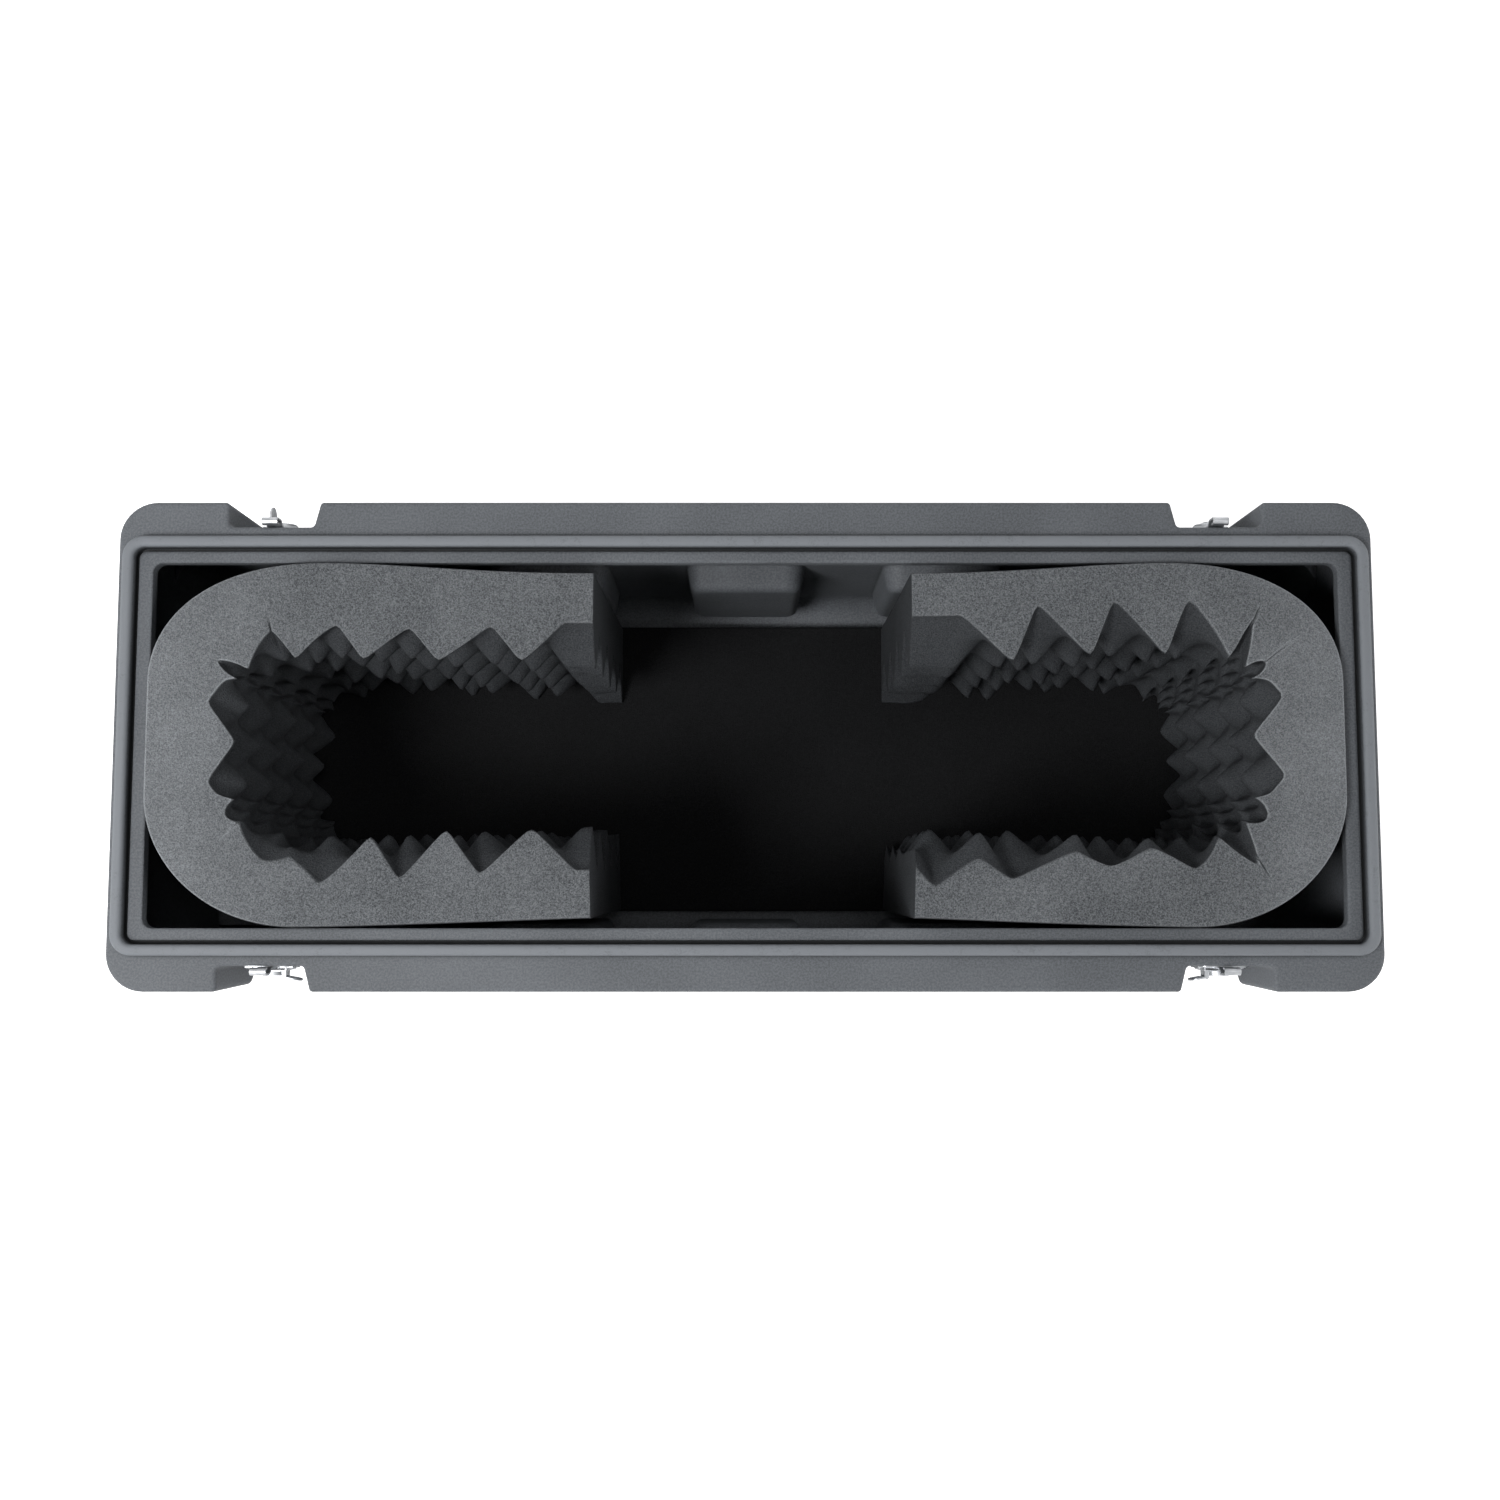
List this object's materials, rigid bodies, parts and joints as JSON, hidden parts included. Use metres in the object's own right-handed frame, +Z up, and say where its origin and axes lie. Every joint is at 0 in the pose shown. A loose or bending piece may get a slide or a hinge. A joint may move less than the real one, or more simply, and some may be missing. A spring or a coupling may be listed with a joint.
{
  "type": "flat screen case",
  "caption": "Open base of a moulded flat screen transport case: egg-crate foam end pads, rotary draw latches, recessed bail handles and tilt wheels, for a lift-off lid.",
  "frame": {"origin": "on the ground, under the middle of the case", "axes": "+X to the right along the long side, +Y to the back, +Z up"},
  "size_m": [1.2678, 0.4974, 0.39],
  "materials": {
    "shell": "moulded with a fine matt texture, dark grey",
    "egg_crate_foam": "open-cell foam, charcoal",
    "floor_foam": "open-cell foam, charcoal",
    "latch_zinc": "bright zinc plate",
    "handle_steel": "black powder coat",
    "grip": "ribbed moulding, matt",
    "wheel": "moulded, mid grey",
    "tyre": "solid rubber",
    "axle_steel": "zinc plate"
  },
  "bodies": {
    "case": {"base_shell": "shell", "floor_pad": "floor_foam", "foam_left": "egg_crate_foam", "foam_right": "egg_crate_foam", "latch_rivets": "latch_zinc", "handle_rivets": "handle_steel", "latch_front_left_pan": "latch_zinc", "latch_front_left_cover": "latch_zinc", "latch_front_right_pan": "latch_zinc", "latch_front_right_cover": "latch_zinc", "latch_rear_left_pan": "latch_zinc", "latch_rear_left_cover": "latch_zinc", "latch_rear_right_pan": "latch_zinc", "latch_rear_right_cover": "latch_zinc", "handle_left_dish": "handle_steel", "handle_right_dish": "handle_steel", "wheel_front_axle": "axle_steel", "wheel_rear_axle": "axle_steel"},
    "drum_front_left": {"latch_front_left_drum": "latch_zinc", "latch_front_left_pin": "latch_zinc"},
    "flap_front_left": {"latch_front_left_flap": "latch_zinc"},
    "hook_front_left": {"latch_front_left_hook": "latch_zinc"},
    "drum_front_right": {"latch_front_right_drum": "latch_zinc", "latch_front_right_pin": "latch_zinc"},
    "flap_front_right": {"latch_front_right_flap": "latch_zinc"},
    "hook_front_right": {"latch_front_right_hook": "latch_zinc"},
    "drum_rear_left": {"latch_rear_left_drum": "latch_zinc", "latch_rear_left_pin": "latch_zinc"},
    "flap_rear_left": {"latch_rear_left_flap": "latch_zinc"},
    "hook_rear_left": {"latch_rear_left_hook": "latch_zinc"},
    "drum_rear_right": {"latch_rear_right_drum": "latch_zinc", "latch_rear_right_pin": "latch_zinc"},
    "flap_rear_right": {"latch_rear_right_flap": "latch_zinc"},
    "hook_rear_right": {"latch_rear_right_hook": "latch_zinc"},
    "handle_left": {"handle_left_bail": "handle_steel", "handle_left_grip": "grip"},
    "handle_right": {"handle_right_bail": "handle_steel", "handle_right_grip": "grip"},
    "wheel_front": {"wheel_front_hub": "wheel", "wheel_front_tyre": "tyre"},
    "wheel_rear": {"wheel_rear_hub": "wheel", "wheel_rear_tyre": "tyre"}
  },
  "joints": [
    {"name": "drum_front_left_turn", "type": "hinge", "parent": "case", "child": "drum_front_left", "pos_m": [-0.48, -0.2205, 0.335], "axis": [0, -1, 0], "range_deg": [0, 180]},
    {"name": "flap_front_left_fold", "type": "hinge", "parent": "drum_front_left", "child": "flap_front_left", "pos_m": [-0.4675, -0.2339, 0.335], "axis": [0, 0, 1], "range_deg": [-170, 0]},
    {"name": "hook_front_left_slide", "type": "slide", "parent": "case", "child": "hook_front_left", "axis": [0, 0, 1], "range_m": [-0.0141, 0.0001]},
    {"name": "drum_front_right_turn", "type": "hinge", "parent": "case", "child": "drum_front_right", "pos_m": [0.48, -0.2205, 0.335], "axis": [0, -1, 0], "range_deg": [0, 180]},
    {"name": "flap_front_right_fold", "type": "hinge", "parent": "drum_front_right", "child": "flap_front_right", "pos_m": [0.4675, -0.2339, 0.335], "axis": [0, 0, -1], "range_deg": [-170, 0]},
    {"name": "hook_front_right_slide", "type": "slide", "parent": "case", "child": "hook_front_right", "axis": [0, 0, 1], "range_m": [-0.0141, 0.0001]},
    {"name": "drum_rear_left_turn", "type": "hinge", "parent": "case", "child": "drum_rear_left", "pos_m": [-0.48, 0.2205, 0.335], "axis": [0, 1, 0], "range_deg": [0, 180]},
    {"name": "flap_rear_left_fold", "type": "hinge", "parent": "drum_rear_left", "child": "flap_rear_left", "pos_m": [-0.4925, 0.2339, 0.335], "axis": [0, 0, 1], "range_deg": [-90, 80]},
    {"name": "hook_rear_left_slide", "type": "slide", "parent": "case", "child": "hook_rear_left", "axis": [0, 0, 1], "range_m": [-0.0141, 0.0001]},
    {"name": "drum_rear_right_turn", "type": "hinge", "parent": "case", "child": "drum_rear_right", "pos_m": [0.48, 0.2205, 0.335], "axis": [0, 1, 0], "range_deg": [0, 180]},
    {"name": "flap_rear_right_fold", "type": "hinge", "parent": "drum_rear_right", "child": "flap_rear_right", "pos_m": [0.4925, 0.2339, 0.335], "axis": [0, 0, -1], "range_deg": [0, 170]},
    {"name": "hook_rear_right_slide", "type": "slide", "parent": "case", "child": "hook_rear_right", "axis": [0, 0, 1], "range_m": [-0.0141, 0.0001]},
    {"name": "handle_left_swing", "type": "hinge", "parent": "case", "child": "handle_left", "pos_m": [-0.618, 0, 0.228], "axis": [0, 1, 0], "range_deg": [0, 90]},
    {"name": "handle_right_swing", "type": "hinge", "parent": "case", "child": "handle_right", "pos_m": [0.618, 0, 0.228], "axis": [0, -1, 0], "range_deg": [0, 90]},
    {"name": "wheel_front_spin", "type": "hinge", "parent": "case", "child": "wheel_front", "pos_m": [-0.588, -0.166, 0.04], "axis": [0, 1, 0], "continuous": true},
    {"name": "wheel_rear_spin", "type": "hinge", "parent": "case", "child": "wheel_rear", "pos_m": [-0.588, 0.166, 0.04], "axis": [0, 1, 0], "continuous": true}
  ],
  "couplings": [
    {"joint": "hook_front_left_slide", "follows": "drum_front_left_turn", "m_per_rad": -0.0044563},
    {"joint": "hook_front_right_slide", "follows": "drum_front_right_turn", "m_per_rad": -0.0044563},
    {"joint": "hook_rear_left_slide", "follows": "drum_rear_left_turn", "m_per_rad": -0.0044563},
    {"joint": "hook_rear_right_slide", "follows": "drum_rear_right_turn", "m_per_rad": -0.0044563}
  ]
}
